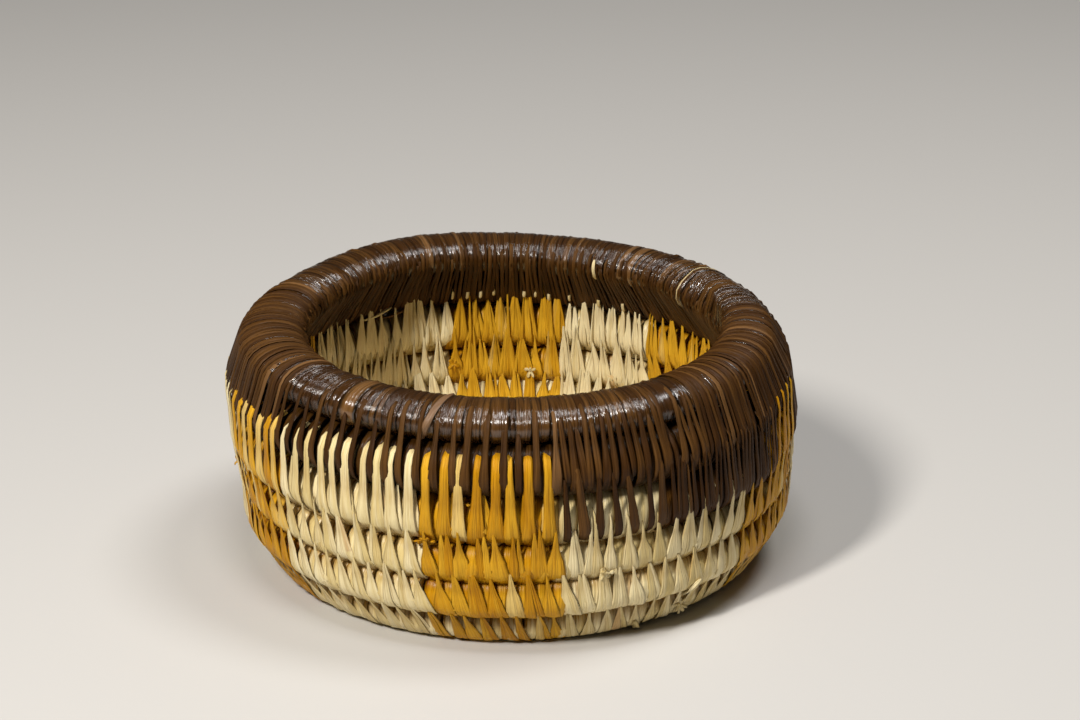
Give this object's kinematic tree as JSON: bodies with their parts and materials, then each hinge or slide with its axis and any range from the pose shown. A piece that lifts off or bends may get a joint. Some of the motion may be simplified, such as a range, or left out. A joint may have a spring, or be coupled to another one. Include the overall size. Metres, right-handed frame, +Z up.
{
  "type": "coiled basket",
  "caption": "Small round open basket of coiled stems bound with cream, ochre and dark brown raffia, with a thick flattened brown rim; holds small loose things.",
  "frame": {"origin": "centre of the floor's underside, on the surface that the basket stands on", "axes": "+Z up along the basket's axis, -Y to the front, +X to the right"},
  "size_m": [0.1797, 0.1799, 0.0787],
  "materials": {
    "raffia_cream": "natural cream raffia strips, softly glossy along the fibres",
    "raffia_ochre": "raffia strips dyed golden ochre, softly glossy along the fibres",
    "raffia_brown": "raffia strips dyed dark brown, pulled tight and polished by handling",
    "stem_bundle": "dry pale stems, matt"
  },
  "bodies": {
    "root": {"floor_turn_up_wraps": "raffia_ochre", "floor_wraps": "raffia_cream", "rim_wraps_1": "raffia_brown", "rim_wraps_2": "raffia_brown", "rim_wraps_3": "raffia_brown", "rim_wraps_4": "raffia_brown", "row1_wraps_01_cream": "raffia_cream", "row1_wraps_02_ochre": "raffia_ochre", "row1_wraps_03_cream": "raffia_cream", "row1_wraps_04_ochre": "raffia_ochre", "row1_wraps_05_cream": "raffia_cream", "row1_wraps_06_ochre": "raffia_ochre", "row1_wraps_07_cream": "raffia_cream", "row1_wraps_08_ochre": "raffia_ochre", "row1_wraps_09_cream": "raffia_cream", "row1_wraps_10_ochre": "raffia_ochre", "row1_wraps_11_cream": "raffia_cream", "row1_wraps_12_ochre": "raffia_ochre", "row2_wraps_01_cream": "raffia_cream", "row2_wraps_02_ochre": "raffia_ochre", "row2_wraps_03_cream": "raffia_cream", "row2_wraps_04_ochre": "raffia_ochre", "row2_wraps_05_cream": "raffia_cream", "row2_wraps_06_ochre": "raffia_ochre", "row2_wraps_07_cream": "raffia_cream", "row2_wraps_08_ochre": "raffia_ochre", "row2_wraps_09_cream": "raffia_cream", "row2_wraps_10_ochre": "raffia_ochre", "row2_wraps_11_cream": "raffia_cream", "row2_wraps_12_ochre": "raffia_ochre", "row3_wraps_01_cream": "raffia_cream", "row3_wraps_02_ochre": "raffia_ochre", "row3_wraps_03_cream": "raffia_cream", "row3_wraps_04_ochre": "raffia_ochre", "row3_wraps_05_cream": "raffia_cream", "row3_wraps_06_ochre": "raffia_ochre", "row3_wraps_07_cream": "raffia_cream", "row3_wraps_08_ochre": "raffia_ochre", "row3_wraps_09_cream": "raffia_cream", "row3_wraps_10_ochre": "raffia_ochre", "row3_wraps_11_cream": "raffia_cream", "row3_wraps_12_ochre": "raffia_ochre", "row4_wraps_01_cream": "raffia_cream", "row4_wraps_02_ochre": "raffia_ochre", "row4_wraps_03_cream": "raffia_cream", "row4_wraps_04_ochre": "raffia_ochre", "row4_wraps_05_cream": "raffia_cream", "row4_wraps_06_ochre": "raffia_ochre", "row4_wraps_07_cream": "raffia_cream", "row4_wraps_08_ochre": "raffia_ochre", "row4_wraps_09_brown": "raffia_brown", "row4_wraps_10_ochre": "raffia_ochre", "row4_wraps_11_brown": "raffia_brown", "row5_wraps_1": "raffia_brown", "row5_wraps_2": "raffia_brown", "row5_wraps_3": "raffia_brown", "row5_wraps_4": "raffia_brown", "stem_bundle": "stem_bundle"}
  },
  "joints": []
}
